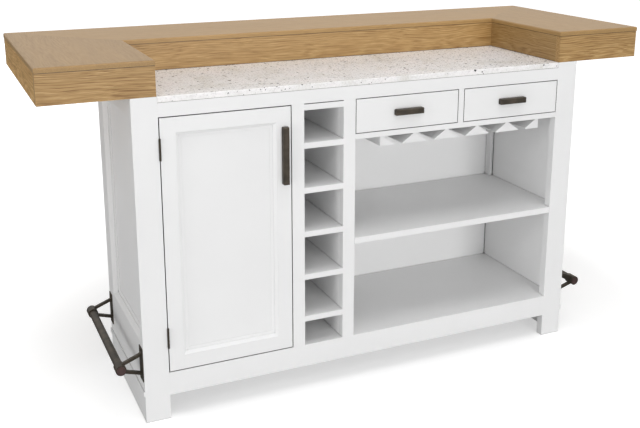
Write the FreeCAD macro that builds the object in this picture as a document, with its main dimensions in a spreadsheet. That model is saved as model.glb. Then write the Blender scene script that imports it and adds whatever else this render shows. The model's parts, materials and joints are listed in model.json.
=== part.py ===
import FreeCAD, Part
import os
import re
import Sketcher

# Dining bar: a painted cabinet with a stone worktop under a raised oak top in a U.
# +Z is up, the serving side faces -Y, and the origin is the middle of the bar's box on the floor.

SIZES = {
    # oak top
    "top_width": 2006, "top_depth": 723, "bar_height": 1092, "top_overhang": 248,
    "top_thickness": 14, "top_nose": 5, "apron_height": 88, "apron_thickness": 20, "apron_setback": 1.2,
    "soffit_thickness": 12,
    # stone worktop
    "stone_thickness": 18, "stone_easing": 2,
    # face frame
    "stile_width": 75, "frame_thickness": 27, "rack_stile_width": 40, "frame_top_rail_height": 40.5,
    "foot_height": 78, "frame_bottom_rail_height": 73, "drawer_rail_height": 17, "drawer_rail_depth": 20,
    "drawer_divider_width": 20, "cupboard_opening": 400, "rack_opening": 130, "drawer_opening": 110,
    # sides and back
    "side_thickness": 35, "post_depth": 68, "side_panel_thickness": 15, "side_top_rail_height": 60,
    "side_bottom_rail_top": 253, "moulding_width": 20, "moulding_lip": 2, "bead_height": 15,
    "bead_thickness": 4, "bead_low": 88, "back_frame_thickness": 20, "back_top_rail_height": 80,
    "back_bottom_rail_top": 230, "back_mullion_width": 60,
    # boards inside
    "board": 18, "shelf_thickness": 20, "notch_gap": 0.5, "middle_shelf_share": 0.51,
    "cupboard_shelf_share": 0.5, "cupboard_shelf_setback": 30, "pin_radius": 3, "pin_length": 10,
    "pin_setback": 60, "pin_gap": 0.3, "panel_edge_gap": 2.5, "batten_width": 12, "batten_depth": 31,
    "rack_top_cubby": 120.5, "rack_bottom_cubby": 98, "rack_top_gap": 2.5,
    # stemware rails
    "stem_pitch_share": 0.1481, "stem_slot": 29, "stem_neck": 14, "stem_neck_height": 8, "stem_height": 36,
    "stem_lip": 3, "stem_rear_gap": 37,
    # door and hinges
    "door_gap": 3, "door_thickness": 22, "door_frame_width": 45, "door_panel_thickness": 7,
    "door_panel_setback": 13, "door_moulding_width": 19, "door_moulding_lip": 2,
    "hinge_length": 64, "hinge_top_inset": 61, "hinge_bottom_inset": 80, "hinge_radius": 3,
    "hinge_standoff": 3.3, "hinge_leaf_thickness": 0.8, "hinge_leaf_width": 18, "hinge_pin_radius": 1.2,
    "hinge_pin_clearance": 0.05, "knuckle_gap": 0.4, "catch_width": 20, "catch_height": 40,
    "catch_gap": 0.4, "catch_below_top": 110,
    # drawers
    "drawer_gap": 2.5, "drawer_front_thickness": 18, "drawer_side_thickness": 12, "drawer_side_height": 84,
    "drawer_rear_gap": 15, "drawer_bottom_thickness": 6, "drawer_bottom_rise": 8, "drawer_clearance": 0.5,
    # pulls
    "pull_projection": 16, "pull_height": 18, "pull_wall": 2.5, "pull_round": 3,
    "door_pull_length": 177, "door_pull_below_top": 63, "door_pull_inset": 20,
    "drawer_pull_length": 98, "drawer_pull_rise": 2,
    # foot rails
    "rail_height": 183, "rail_standoff": 65, "rail_radius": 12.5, "rail_wall": 1.5, "rail_end_inset": 8,
    "socket_radius": 16, "socket_length": 34, "socket_clearance": 0.3, "cap_radius": 13, "cap_thickness": 3,
    "plate_thickness": 2.5, "plate_width": 38, "plate_length": 106, "plate_rise": 3, "arm_size": 9.5,
    "arm_socket_rise": 9, "arm_plate_rise": 31.5, "screw_head_radius": 4, "screw_head_height": 2,
    "screw_spread": 92,
}

# Lines and levels that several pieces share, worked out from the sizes above.
DERIVED = {
    "front": "(pull_projection - top_depth) / 2",
    "top_half": "top_width / 2",
    "top_band": "top_overhang + stile_width",
    "band_inner": "top_half - top_band",
    "band_back": "top_depth - top_band",
    "cabinet_half": "top_half - top_overhang",
    "cabinet_depth": "top_depth - top_overhang",
    "apron_top": "bar_height - top_thickness",
    "carcass_top": "apron_top - apron_height",
    "stone_low": "carcass_top - stone_thickness",
    "opening_top": "stone_low - frame_top_rail_height",
    "floor_level": "foot_height + frame_bottom_rail_height",
    "stile_inner": "cabinet_half - stile_width",
    "side_inner": "cabinet_half - side_thickness",
    "post_front": "cabinet_depth - post_depth",
    "panel_face": "side_inner + side_panel_thickness",
    "back_inner": "cabinet_depth - back_frame_thickness - board",
    "back_frame_front": "cabinet_depth - back_frame_thickness",
    "sub_top_low": "stone_low - board",
    "door_right": "cupboard_opening - stile_inner",
    "rack_left": "door_right + rack_stile_width",
    "rack_right": "rack_left + rack_opening",
    "bay_left": "rack_right + rack_stile_width",
    "rack_wall_left": "rack_left - board",
    "rack_wall_right": "rack_right + board",
    "deck_top": "opening_top - drawer_opening",
    "deck_low": "deck_top - drawer_rail_height",
    "drawer_width": "(stile_inner - bay_left - drawer_divider_width) / 2",
    "divider_left": "bay_left + drawer_width",
    "divider_right": "divider_left + drawer_divider_width",
    "side_panel_low": "side_bottom_rail_top",
    "side_panel_high": "carcass_top - side_top_rail_height",
    "stem_centre": "(bay_left + side_inner) / 2",
    "stem_pitch": "stem_pitch_share * (side_inner - bay_left)",
    "stem_width": "stem_pitch - stem_slot",
    "stem_length": "back_inner - stem_rear_gap - drawer_rail_depth",
    "middle_shelf_top": "floor_level + middle_shelf_share * (deck_low - floor_level)",
    "cupboard_shelf_top": "floor_level + cupboard_shelf_share * (opening_top - floor_level)",
    "rack_first_top": "opening_top - rack_top_cubby",
    "rack_last_top": "floor_level + rack_bottom_cubby",
    "drawer_box_rear": "post_front - drawer_rear_gap",
    "hinge_x": "door_gap / 2 - stile_inner",
    "door_low": "floor_level + door_gap",
    "door_high": "opening_top - door_gap",
    "door_left_edge": "door_gap - stile_inner",
    "door_right_edge": "door_right - door_gap",
    "rail_x": "cabinet_half + rail_standoff",
    "rail_start": "rail_end_inset",
    "rail_finish": "cabinet_depth - rail_end_inset",
}

doc = FreeCAD.newDocument("dining_bar")
sheet = doc.addObject("Spreadsheet::Sheet", "Sizes")
for row, (alias, number) in enumerate(SIZES.items(), start=1):
    sheet.set(f"A{row}", alias)
    sheet.set(f"B{row}", str(number))
    sheet.setAlias(f"B{row}", alias)
doc.recompute()
NODES = []


def sized(text):
    """Writes an expression's plain words as cells of the sheet."""
    def swap(match):
        word = match.group()
        if word in DERIVED:
            return f"({sized(DERIVED[word])})"
        return f"Sizes.{word}" if word in SIZES else word
    return re.sub(r"[a-z][a-z_]*", swap, text)


def value(text):
    return float(sheet.evalExpression(sized(text)))


def bind(piece, **sizes):
    for name, text in sizes.items():
        piece.setExpression(name, sized(text))


def place(piece, x, depth, z):
    """Places a piece by X, by depth behind the face frame's front, and by height."""
    piece.setExpression("Placement.Base.x", sized(x))
    piece.setExpression("Placement.Base.y", sized(f"front + {depth}"))
    piece.setExpression("Placement.Base.z", sized(z))


def turn(piece, axis, degrees):
    piece.Placement = FreeCAD.Placement(FreeCAD.Vector(), FreeCAD.Rotation(axis, degrees))


def node(piece):
    """Keeps a finished piece, which is written to a file named by its label."""
    NODES.append(piece)
    return piece


def board(label, x, depth, z):
    """A plain sawn board between low and high lines on each axis."""
    piece = doc.addObject("Part::Box", label)
    bind(piece, Length=f"{x[1]} - ({x[0]})", Width=f"{depth[1]} - ({depth[0]})", Height=f"{z[1]} - ({z[0]})")
    place(piece, x[0], f"({depth[0]})", z[0])
    return piece


def rod(label, axis, radius, length, x, depth, z):
    """A cylinder along X, Y or Z from its start point."""
    piece = doc.addObject("Part::Cylinder", label)
    if axis == "X":
        turn(piece, FreeCAD.Vector(0, 1, 0), 90)
    elif axis == "Y":
        turn(piece, FreeCAD.Vector(1, 0, 0), -90)
    bind(piece, Radius=radius, Height=length)
    place(piece, x, f"({depth})", z)
    return piece


def group(label, pieces):
    """Several separate solids that share one node."""
    piece = doc.addObject("Part::Compound", label)
    piece.Links = pieces
    return piece


def cut(label, base, tool):
    piece = doc.addObject("Part::Cut", label)
    piece.Base = base
    piece.Tool = tool
    return piece


def fuse(label, pieces):
    piece = doc.addObject("Part::MultiFuse", label)
    piece.Shapes = pieces
    return piece


def both_sides(label, piece, x, depth, z):
    """The same board on the right and, mirrored, on the left, as one node."""
    right = board(f"right_{piece}", x, depth, z)
    left = board(f"left_{piece}", (f"-({x[1]})", f"-({x[0]})"), depth, z)
    return group(label, [left, right])


def draw(sketch, points):
    """Draws a closed outline whose corners are held by expressions from the sketch's origin."""
    corners = [FreeCAD.Vector(value(x), value(y), 0) for x, y in points]
    count = len(corners)
    for index in range(count):
        sketch.addGeometry(Part.LineSegment(corners[index], corners[(index + 1) % count]), False)
    for index in range(count):
        sketch.addConstraint(Sketcher.Constraint("Coincident", index, 2, (index + 1) % count, 1))
    for index, (x, y) in enumerate(points):
        for text, kind, axis in ((x, "DistanceX", -2), (y, "DistanceY", -1)):
            if text == "0":
                sketch.addConstraint(Sketcher.Constraint("PointOnObject", index, 1, axis))
                continue
            number = sketch.addConstraint(Sketcher.Constraint(kind, -1, 1, index, 1, value(text)))
            sketch.setExpression(f"Constraints[{number}]", sized(text))


def extruded(label, plane, points, length):
    """A body padded from an outline; XZ outlines are padded towards +Y."""
    body = doc.addObject("PartDesign::Body", label)
    support = [item for item in body.Origin.OriginFeatures if item.Role == f"{plane}_Plane"][0]
    sketch = body.newObject("Sketcher::SketchObject", f"{label}_outline")
    sketch.AttachmentSupport = (support, [""])
    sketch.MapMode = "FlatFace"
    draw(sketch, points)
    pad = body.newObject("PartDesign::Pad", f"{label}_pad")
    pad.Profile = sketch
    pad.Reversed = plane == "XZ"
    bind(pad, Length=length)
    sketch.Visibility = False
    doc.recompute()
    return body


def hollowed(body, plane, points, depth):
    """Cuts an outline into a body from its origin plane, towards the side that was padded."""
    support = [item for item in body.Origin.OriginFeatures if item.Role == f"{plane}_Plane"][0]
    before = body.Tip.Shape.Volume
    sketch = body.newObject("Sketcher::SketchObject", f"{body.Name}_hollow")
    sketch.AttachmentSupport = (support, [""])
    sketch.MapMode = "FlatFace"
    draw(sketch, points)
    pocket = body.newObject("PartDesign::Pocket", f"{body.Name}_pocket")
    pocket.Profile = sketch
    pocket.Reversed = plane != "XZ"
    bind(pocket, Length=depth)
    sketch.Visibility = False
    doc.recompute()
    if pocket.Shape.Volume >= before:
        raise RuntimeError(f"nothing was cut from {body.Label}")
    return body


def rounded(body, radius, middles):
    """Rounds the edges of a body whose midpoints, in the body's own frame, are given."""
    base = body.Tip
    wanted = [FreeCAD.Vector(*(value(text) for text in middle)) for middle in middles]
    names = []
    for middle in wanted:
        gaps = [(edge.CenterOfMass - middle).Length for edge in base.Shape.Edges]
        names.append(f"Edge{gaps.index(min(gaps)) + 1}")
    fillet = body.newObject("PartDesign::Fillet", f"{body.Name}_rounding")
    fillet.Base = (base, names)
    bind(fillet, Radius=radius)
    doc.recompute()
    return body


def moulding(label, turned, across, tall, width, depth, lip):
    """A mitred frame whose face slopes from a narrow lip down to the panel behind it.

    The frame faces +Y before it is turned about Z."""
    block = doc.addObject("Part::Box", f"{label}_block")
    bind(block, Length=across, Width=depth, Height=tall)
    hollow = doc.addObject("Part::Wedge", f"{label}_hollow")
    bind(hollow, Xmin=width, Xmax=f"{across} - {width}", Zmin=width, Zmax=f"{tall} - {width}", Ymax=depth,
         X2min=lip, X2max=f"{across} - {lip}", Z2min=lip, Z2max=f"{tall} - {lip}")
    frame = cut(label, block, hollow)
    turn(frame, FreeCAD.Vector(0, 0, 1), turned)
    return frame


def build_face_frame():
    depth = ("0", "frame_thickness")
    stile_z = ("0", "carcass_top")
    node(both_sides("front_stiles", "front_stile", ("stile_inner", "cabinet_half"), depth, stile_z))
    between_rails = ("floor_level", "opening_top")
    node(group("rack_stiles", [board("rack_left_stile", ("door_right", "rack_left"), depth, between_rails),
                               board("rack_right_stile", ("rack_right", "bay_left"), depth, between_rails)]))
    between_stiles = ("-stile_inner", "stile_inner")
    node(board("frame_top_rail", between_stiles, depth, ("opening_top", "stone_low")))
    node(board("frame_bottom_rail", between_stiles, depth, ("foot_height", "floor_level")))
    shallow = ("0", "drawer_rail_depth")
    node(board("drawer_rail", ("bay_left", "stile_inner"), shallow, ("deck_low", "deck_top")))
    node(board("drawer_divider", ("divider_left", "divider_right"), shallow, ("deck_top", "opening_top")))


def build_sides():
    side_x = ("side_inner", "cabinet_half")
    depth = ("frame_thickness", "post_front")
    node(both_sides("rear_posts", "rear_post", side_x, ("post_front", "cabinet_depth"),
                    ("0", "carcass_top")))
    node(both_sides("side_top_rails", "side_top_rail", side_x, depth, ("side_panel_high", "carcass_top")))
    node(both_sides("side_bottom_rails", "side_bottom_rail", ("panel_face", "cabinet_half"), depth,
                    ("0", "side_panel_low")))
    node(both_sides("side_panels", "side_panel", ("side_inner", "panel_face"), depth,
                    ("floor_level - board", "side_panel_high")))
    across = "post_front - frame_thickness"
    tall = "side_panel_high - side_panel_low"
    slope_depth = "side_thickness - side_panel_thickness"
    sizes = (across, tall, "moulding_width", slope_depth, "moulding_lip")
    left = moulding("left_side_moulding", 90, *sizes)
    place(left, "-(panel_face)", "frame_thickness", "side_panel_low")
    right = moulding("right_side_moulding", -90, *sizes)
    place(right, "panel_face", "post_front", "side_panel_low")
    node(group("side_mouldings", [left, right]))
    node(both_sides("base_beads", "base_bead", ("cabinet_half", "cabinet_half + bead_thickness"),
                    ("0", "cabinet_depth"), ("bead_low", "bead_low + bead_height")))


def build_back():
    """The side that the guests face: a panel behind a frame with three bevelled bays."""
    between_posts = ("-side_inner", "side_inner")
    panel_edge = "side_inner - panel_edge_gap"
    depth = ("back_frame_front", "cabinet_depth")
    node(board("back_panel", (f"-({panel_edge})", panel_edge), ("back_inner", "back_frame_front"),
               ("foot_height", "carcass_top")))
    high = "carcass_top - back_top_rail_height"
    low = "back_bottom_rail_top"
    node(board("back_top_rail", between_posts, depth, (high, "carcass_top")))
    node(board("back_bottom_rail", between_posts, depth, ("foot_height", low)))
    bays = 3
    bay_width = f"(2 * side_inner - {bays - 1} * back_mullion_width) / {bays}"
    mullions = []
    frames = []
    for bay in range(bays):
        bay_x = f"{bay} * ({bay_width} + back_mullion_width) - side_inner"
        frame = moulding(f"back_moulding_{bay + 1}", 0, bay_width, f"{high} - {low}", "moulding_width",
                         "back_frame_thickness", "moulding_lip")
        place(frame, bay_x, "back_frame_front", low)
        frames.append(frame)
        if bay:
            mullions.append(board(f"back_mullion_{bay}", (f"{bay_x} - back_mullion_width", bay_x), depth,
                                  (low, high)))
    node(group("back_mullions", mullions))
    node(group("back_mouldings", frames))


def build_corner_clearances():
    """Blocks around the stiles, which notch the boards that pass them."""
    z = ("0", "carcass_top")
    front = both_sides("stile_clearances", "stile_clearance", ("stile_inner - notch_gap", "cabinet_half"),
                       ("0", "frame_thickness + notch_gap"), z)
    rack = board("rack_stile_clearance", ("rack_right", "bay_left + notch_gap"),
                 ("0", "frame_thickness + notch_gap"), z)
    return group("corner_clearances", [front, rack])


def shelf_pins(shelf, walls, z_top):
    """Four pins under a shelf, standing out of the two walls beside it."""
    pins = []
    z = f"{z_top} - shelf_thickness - pin_radius - pin_gap"
    for wall, start in zip(("left", "right"), walls):
        for row, depth in (("front", "pin_setback"), ("rear", "back_inner - pin_setback")):
            pins.append(rod(f"{shelf}_{wall}_{row}_pin", "X", "pin_radius", "pin_length", start, depth, z))
    return pins


def build_inside(clearances):
    full = ("-side_inner", "side_inner")
    behind_frame = ("frame_thickness", "back_inner")

    def notched(label, x, depth, z):
        return node(cut(label, board(f"{label}_blank", x, depth, z), clearances))

    notched("bottom_board", full, behind_frame, ("floor_level - board", "floor_level"))
    notched("sub_top", full, behind_frame, ("sub_top_low", "stone_low"))
    walls_z = ("floor_level", "sub_top_low")
    node(group("rack_walls", [
        board("rack_left_wall", ("rack_wall_left", "rack_left"), behind_frame, walls_z),
        board("rack_right_wall", ("rack_right", "rack_wall_right"), behind_frame, walls_z)]))
    notched("drawer_deck", ("rack_wall_right", "side_inner"), ("drawer_rail_depth", "back_inner"),
            ("deck_low", "deck_top"))
    guide_z = ("deck_top", "deck_top + drawer_side_height / 2")
    guide_depth = ("frame_thickness + notch_gap", "post_front - notch_gap")
    node(group("drawer_guides", [
        board("left_drawer_guide", ("rack_wall_right", "bay_left"), guide_depth, guide_z),
        board("middle_drawer_guide", ("divider_left", "divider_right"), guide_depth, guide_z),
        board("right_drawer_guide", ("stile_inner", "side_inner"), guide_depth, guide_z)]))
    notched("middle_shelf", ("rack_wall_right", "side_inner"), ("0", "back_inner"),
            ("middle_shelf_top - shelf_thickness", "middle_shelf_top"))
    notched("cupboard_shelf", ("-side_inner", "rack_wall_left"),
            ("frame_thickness + cupboard_shelf_setback", "back_inner"),
            ("cupboard_shelf_top - shelf_thickness", "cupboard_shelf_top"))
    pins = shelf_pins("middle", ("rack_wall_right", "side_inner - pin_length"), "middle_shelf_top")
    pins += shelf_pins("cupboard", ("-side_inner", "rack_wall_left - pin_length"), "cupboard_shelf_top")
    node(group("shelf_pins", pins))
    batten_right = "side_inner - panel_edge_gap"
    node(board("corner_batten", (f"{batten_right} - batten_width", batten_right),
               ("back_inner - batten_depth", "back_inner"), ("middle_shelf_top", "deck_low")))
    node(board("door_catch", ("door_right - catch_width", "door_right"),
               ("door_thickness + catch_gap", "frame_thickness"),
               ("opening_top - catch_below_top - catch_height", "opening_top - catch_below_top")))


def build_bottle_rack():
    """Six equal boards between the rack's walls; the highest closes the rack below the top rail."""
    tops = ["opening_top - rack_top_gap"]
    shelves = 5
    for index in range(shelves):
        tops.append(f"rack_first_top - {index} * (rack_first_top - rack_last_top) / {shelves - 1}")
    across, depth = ("rack_left", "rack_right"), ("0", "back_inner")
    boards = [board(f"rack_shelf_{index}", across, depth, (f"{top} - board", top))
              for index, top in enumerate(tops)]
    node(group("rack_shelves", boards))


def stem_rail(label, left_edge, width, neck_left):
    """A rail with a narrow neck and flared sides, between which glass feet hang."""
    neck_right = f"{neck_left} + stem_neck"
    flare_top = "stem_height - stem_neck_height"
    outline = [("0", "0"), (width, "0"), (width, "stem_lip"), (neck_right, flare_top),
               (neck_right, "stem_height"), (neck_left, "stem_height"), (neck_left, flare_top),
               ("0", "stem_lip")]
    if neck_left == "0":
        outline = [point for index, point in enumerate(outline) if index not in (6, 7)]
    elif neck_right == width:
        outline = [point for index, point in enumerate(outline) if index not in (2, 3)]
    body = extruded(label, "XZ", outline, "stem_length")
    place(body, left_edge, "drawer_rail_depth", "deck_low - stem_height")
    return body


def build_stemware_rails():
    rails = 4
    full = []
    for index in range(rails):
        centre = f"stem_centre + ({index} - {(rails - 1) / 2}) * stem_pitch"
        full.append(stem_rail(f"stem_rail_{index + 1}", f"{centre} - stem_width / 2", "stem_width",
                              "stem_width / 2 - stem_neck / 2"))
    half_width = "stem_width / 2 + stem_neck / 2"
    slots_wide = (rails + 1) / 2
    left_edge = f"stem_centre - {slots_wide} * stem_pitch - stem_neck / 2"
    right_edge = f"stem_centre + {slots_wide} * stem_pitch - stem_width / 2"
    left = stem_rail("left_stem_rail", left_edge, half_width, "0")
    right = stem_rail("right_stem_rail", right_edge, half_width, "stem_width / 2 - stem_neck / 2")
    node(group("stem_rails", [left] + full + [right]))


def build_stone():
    """A slab between the stiles that widens behind them to the sides."""
    wide = "2 * side_inner"
    ear = "side_inner - stile_inner + notch_gap"
    behind_stile = "frame_thickness + notch_gap"
    body = extruded("stone_worktop", "XY", [
        (ear, "0"), (f"{wide} - ({ear})", "0"), (f"{wide} - ({ear})", behind_stile), (wide, behind_stile),
        (wide, "back_inner"), ("0", "back_inner"), ("0", behind_stile), (ear, behind_stile),
    ], "stone_thickness")
    rounded(body, "stone_easing", [("side_inner", "0", "stone_thickness")])
    place(body, "-side_inner", "0", "stone_low")
    node(body)


def build_oak_top():
    """Three mitred boards on aprons that are set back a little, closed below by soffits."""
    top = "top_thickness"
    left = extruded("oak_left_wing_top", "XY",
                    [("0", "0"), ("top_band", "0"), ("top_band", "band_back"), ("0", "top_depth")], top)
    rounded(left, "top_nose", [("top_band / 2", "0", top), ("top_band", "band_back / 2", top),
                               ("0", "top_depth / 2", top)])
    place(left, "-top_half", "0", "apron_top")
    right = extruded("oak_right_wing_top", "XY",
                     [("0", "0"), ("top_band", "0"), ("top_band", "top_depth"), ("0", "band_back")], top)
    rounded(right, "top_nose", [("top_band / 2", "0", top), ("0", "band_back / 2", top),
                                ("top_band", "top_depth / 2", top)])
    place(right, "band_inner", "0", "apron_top")
    back = extruded("oak_back_top", "XY", [("top_band", "0"), ("top_width - top_band", "0"),
                                           ("top_width", "top_band"), ("0", "top_band")], top)
    rounded(back, "top_nose", [("top_half", "0", top), ("top_half", "top_band", top)])
    place(back, "-top_half", "band_back", "apron_top")
    node(group("oak_wing_tops", [left, right]))
    node(back)

    z = ("carcass_top", "apron_top")
    inner = "band_inner + apron_setback"
    outer = "top_half - apron_setback"
    front_face = "apron_setback"
    rear_face = "top_depth - apron_setback"
    inner_back = "band_back + apron_setback"
    front_back = f"{front_face} + apron_thickness"
    rear_front = f"{rear_face} - apron_thickness"
    node(both_sides("oak_front_aprons", "oak_front_apron", (inner, outer), (front_face, front_back), z))
    node(both_sides("oak_end_aprons", "oak_end_apron", (f"{outer} - apron_thickness", outer),
                    (front_back, rear_front), z))
    node(both_sides("oak_inner_aprons", "oak_inner_apron", (inner, f"{inner} + apron_thickness"),
                    (front_back, f"{inner_back} + apron_thickness"), z))
    node(board("oak_back_apron", (f"-({outer})", outer), (rear_face + " - apron_thickness", rear_face), z))
    node(board("oak_inner_back_apron", (f"-({inner})", inner),
               (inner_back, f"{inner_back} + apron_thickness"), z))
    soffit_z = ("carcass_top", "carcass_top + soffit_thickness")
    inside = f"{inner} + apron_thickness"
    wing_x = (inside, f"{outer} - apron_thickness")
    wing_depth = (front_back, rear_front)
    wings = both_sides("oak_wing_soffits", "oak_wing_soffit", wing_x, wing_depth, soffit_z)
    back_soffit = board("oak_back_soffit", (f"-({inside})", inside),
                        (f"{inner_back} + apron_thickness", rear_front), soffit_z)
    node(group("oak_soffits", [wings, back_soffit]))


def build_door():
    left, right = "door_left_edge", "door_right_edge"
    low, high = "door_low", "door_high"
    depth = ("0", "door_thickness")
    inner_left, inner_right = f"{left} + door_frame_width", f"{right} - door_frame_width"
    inner_low, inner_high = f"{low} + door_frame_width", f"{high} - door_frame_width"
    inner = (inner_left, inner_right)
    node(group("door_stiles", [board("door_left_stile", (left, inner_left), depth, (low, high)),
                               board("door_right_stile", (inner_right, right), depth, (low, high))]))
    node(group("door_rails", [board("door_top_rail", inner, depth, (inner_high, high)),
                              board("door_bottom_rail", inner, depth, (low, inner_low))]))
    node(board("door_panel", inner,
               ("door_panel_setback", "door_panel_setback + door_panel_thickness"), (inner_low, inner_high)))
    across, tall = f"{inner_right} - ({inner_left})", f"{inner_high} - ({inner_low})"
    frame = moulding("door_moulding", 180, across, tall, "door_moulding_width", "door_panel_setback",
                     "door_moulding_lip")
    place(frame, inner_right, "door_panel_setback", inner_low)
    node(frame)


def cup_pull(label, length):
    """A cast pull that is closed above, in front and at its ends, and open below for the fingers.

    Its length is along +X, and its back lies on the wood at the +Y side."""
    body = extruded(label, "XY", [("0", "0"), (length, "0"), (length, "pull_projection"),
                                  ("0", "pull_projection")], "pull_height")
    inner = f"{length} - pull_wall"
    hollowed(body, "XY", [("pull_wall", "pull_wall"), (inner, "pull_wall"), (inner, "pull_projection"),
                          ("pull_wall", "pull_projection")], "pull_height - pull_wall")
    half_height = "pull_height / 2"
    middle_depth = "pull_projection / 2"
    rounded(body, "pull_round", [
        (f"{length} / 2", "0", "pull_height"), ("0", middle_depth, "pull_height"),
        (length, middle_depth, "pull_height"), ("0", "0", half_height), (length, "0", half_height)])
    return body


def build_hinges():
    """Two butt hinges whose knuckles stand in front of the gap beside the door."""
    frame_leaves, door_leaves, pins = [], [], []
    knuckle = "hinge_length / 3"
    axis_depth = "-hinge_standoff"
    bore = "hinge_pin_radius + hinge_pin_clearance"
    lows = {"upper": "opening_top - hinge_top_inset - hinge_length",
            "lower": "floor_level + hinge_bottom_inset"}
    leaf_depth = (axis_depth, "hinge_leaf_width")
    for name, low in lows.items():
        hole = rod(f"{name}_hinge_bore", "Z", bore, "hinge_length", "hinge_x", axis_depth, low)
        ends = [rod(f"{name}_hinge_{end}_knuckle", "Z", "hinge_radius", knuckle, "hinge_x", axis_depth, z)
                for end, z in (("low", low), ("high", f"{low} + 2 * {knuckle}"))]
        plates = [board(f"{name}_frame_plate_{end}", ("-stile_inner", "hinge_leaf_thickness - stile_inner"),
                        leaf_depth, (z, f"{z} + {knuckle}"))
                  for end, z in (("low", low), ("high", f"{low} + 2 * {knuckle}"))]
        web = board(f"{name}_frame_plate_web", ("-stile_inner", "hinge_leaf_thickness - stile_inner"),
                    ("0", "hinge_leaf_width"), (low, f"{low} + hinge_length"))
        blank = fuse(f"{name}_frame_blank", ends + plates + [web])
        frame_leaves.append(cut(f"{name}_frame_leaf", blank, hole))
        middle_low = f"{low} + {knuckle} + knuckle_gap"
        middle_length = f"{knuckle} - 2 * knuckle_gap"
        barrel = rod(f"{name}_hinge_middle_knuckle", "Z", "hinge_radius", middle_length, "hinge_x",
                     axis_depth, middle_low)
        leaf_x = ("door_left_edge - hinge_leaf_thickness", "door_left_edge")
        tongue = board(f"{name}_door_plate_tongue", leaf_x, leaf_depth,
                       (middle_low, f"{middle_low} + {middle_length}"))
        plate = board(f"{name}_door_plate_web", leaf_x, ("0", "hinge_leaf_width"),
                      (low, f"{low} + hinge_length"))
        blank = fuse(f"{name}_door_blank", [barrel, tongue, plate])
        door_leaves.append(cut(f"{name}_door_leaf", blank, hole))
        pins.append(rod(f"{name}_hinge_pin", "Z", "hinge_pin_radius", "hinge_length", "hinge_x", axis_depth,
                        low))
    node(group("hinge_frame_leaves", frame_leaves))
    node(group("hinge_door_leaves", door_leaves))
    node(group("hinge_pins", pins))


def build_door_pull():
    """The door's pull stands upright, with its open side towards the door's free edge."""
    body = cup_pull("door_pull", "door_pull_length")
    turn(body, FreeCAD.Vector(0, 1, 0), -90)
    place(body, "door_right_edge - door_pull_inset + pull_height / 2", "-pull_projection",
          "opening_top - door_pull_below_top - door_pull_length")
    node(body)


def build_drawer(side, left):
    """An inset front on a box of four boards, which slides on the deck between the guides."""
    name = f"{side}_drawer"
    x_left, x_right = f"{left} + drawer_gap", f"{left} + drawer_width - drawer_gap"
    box_rear = "drawer_box_rear"
    node(board(f"{name}_front", (x_left, x_right), ("0", "drawer_front_thickness"),
               ("deck_top + drawer_gap", "opening_top - drawer_gap")))
    low = "deck_top + drawer_clearance"
    z = (low, f"{low} + drawer_side_height")
    side_depth = ("drawer_front_thickness", box_rear)
    inner_left, inner_right = f"{x_left} + drawer_side_thickness", f"{x_right} - drawer_side_thickness"
    node(group(f"{name}_sides", [board(f"{name}_left_side", (x_left, inner_left), side_depth, z),
                                 board(f"{name}_right_side", (inner_right, x_right), side_depth, z)]))
    back_front = f"{box_rear} - drawer_side_thickness"
    node(board(f"{name}_back", (inner_left, inner_right), (back_front, box_rear), z))
    bottom_low = f"{low} + drawer_bottom_rise"
    node(board(f"{name}_bottom", (inner_left, inner_right), ("drawer_front_thickness", back_front),
               (bottom_low, f"{bottom_low} + drawer_bottom_thickness")))
    pull = cup_pull(f"{name}_pull", "drawer_pull_length")
    place(pull, f"{left} + drawer_width / 2 - drawer_pull_length / 2", "-pull_projection",
          "deck_top + drawer_opening / 2 + drawer_pull_rise - pull_height / 2")
    node(pull)


def foot_rail_bracket(label, side, centre):
    """A wall plate, two arms and a socket, as one casting that looks to +X from the rail's height."""
    plate = doc.addObject("Part::Box", f"{label}_plate")
    bind(plate, Length="plate_thickness", Width="plate_width", Height="plate_length")
    plate.setExpression("Placement.Base.y", sized("-plate_width / 2"))
    plate.setExpression("Placement.Base.z", sized("plate_rise - plate_length / 2"))
    upper_rise = "plate_rise + arm_plate_rise - arm_socket_rise"
    lower_rise = "arm_plate_rise - plate_rise - arm_socket_rise"
    arms = []
    for way, plate_end, rail_end, low in (("upper", upper_rise, "0", "arm_socket_rise"),
                                          ("lower", "0", lower_rise, "plate_rise - arm_plate_rise")):
        arm = extruded(f"{label}_{way}_arm", "XZ", [
            ("0", plate_end), ("rail_standoff", rail_end), ("rail_standoff", f"{rail_end} + arm_size"),
            ("0", f"{plate_end} + arm_size")], "arm_size")
        arm.setExpression("Placement.Base.y", sized("-arm_size / 2"))
        arm.setExpression("Placement.Base.z", sized(f"{low} - arm_size / 2"))
        arms.append(arm)
    ring = doc.addObject("Part::Cylinder", f"{label}_socket")
    hole = doc.addObject("Part::Cylinder", f"{label}_bore")
    for cylinder, radius in ((ring, "socket_radius"), (hole, "rail_radius + socket_clearance")):
        turn(cylinder, FreeCAD.Vector(1, 0, 0), -90)
        bind(cylinder, Radius=radius, Height="socket_length")
        cylinder.setExpression("Placement.Base.x", sized("rail_standoff"))
        cylinder.setExpression("Placement.Base.y", sized("-socket_length / 2"))
    bracket = cut(label, fuse(f"{label}_casting", [plate, ring] + arms), hole)
    turn(bracket, FreeCAD.Vector(0, 0, 1), 0 if side > 0 else 180)
    place(bracket, "cabinet_half" if side > 0 else "-cabinet_half", f"({centre})", "rail_height")
    return bracket


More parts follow.
